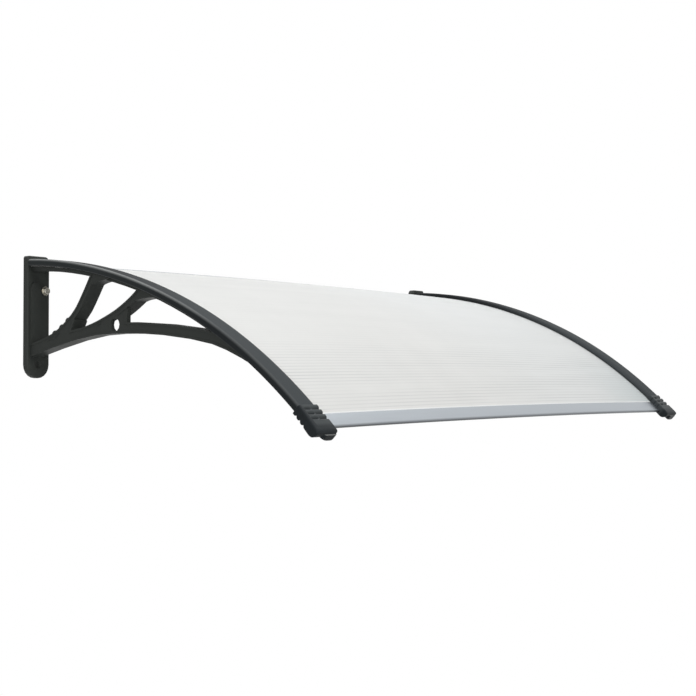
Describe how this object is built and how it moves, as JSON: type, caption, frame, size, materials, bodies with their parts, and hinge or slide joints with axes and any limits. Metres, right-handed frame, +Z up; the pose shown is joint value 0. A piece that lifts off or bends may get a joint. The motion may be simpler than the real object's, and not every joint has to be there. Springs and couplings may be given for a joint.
{
  "type": "door canopy",
  "caption": "Bowed door canopy: a milky multiwall sheet clamped by cover strips on pierced black wall brackets, with aluminium edge strips and ridged end caps.",
  "frame": {"origin": "on the wall plane, midway between the brackets, level with the tops of the cover strips at the wall", "axes": "+X along the wall to the viewer's right when facing the wall, +Y into the wall, +Z up"},
  "size_m": [1.4138, 0.7835, 0.3535],
  "materials": {
    "sheet_polycarbonate": "milky translucent, fluted",
    "front_aluminium": "satin anodised",
    "rear_aluminium": "satin anodised",
    "bracket_plastic": "satin moulded",
    "cover_plastic": "satin extruded",
    "cap_plastic": "satin moulded",
    "washer_steel": "zinc plated",
    "bolt_steel": "zinc plated",
    "screw_steel": "zinc plated"
  },
  "bodies": {
    "root": {"canopy_sheet": "sheet_polycarbonate", "front_edge_strip": "front_aluminium", "rear_edge_strip": "rear_aluminium", "left_wall_bracket": "bracket_plastic", "right_wall_bracket": "bracket_plastic", "left_cover_strip": "cover_plastic", "right_cover_strip": "cover_plastic", "left_end_cap": "cap_plastic", "right_end_cap": "cap_plastic", "left_wall_washer": "washer_steel", "right_wall_washer": "washer_steel", "left_wall_bolt": "bolt_steel", "right_wall_bolt": "bolt_steel", "left_strip_screw_1": "screw_steel", "right_strip_screw_1": "screw_steel", "left_strip_screw_2": "screw_steel", "right_strip_screw_2": "screw_steel", "left_strip_screw_3": "screw_steel", "right_strip_screw_3": "screw_steel", "left_strip_screw_4": "screw_steel", "right_strip_screw_4": "screw_steel", "left_strip_screw_5": "screw_steel", "right_strip_screw_5": "screw_steel"}
  },
  "joints": []
}
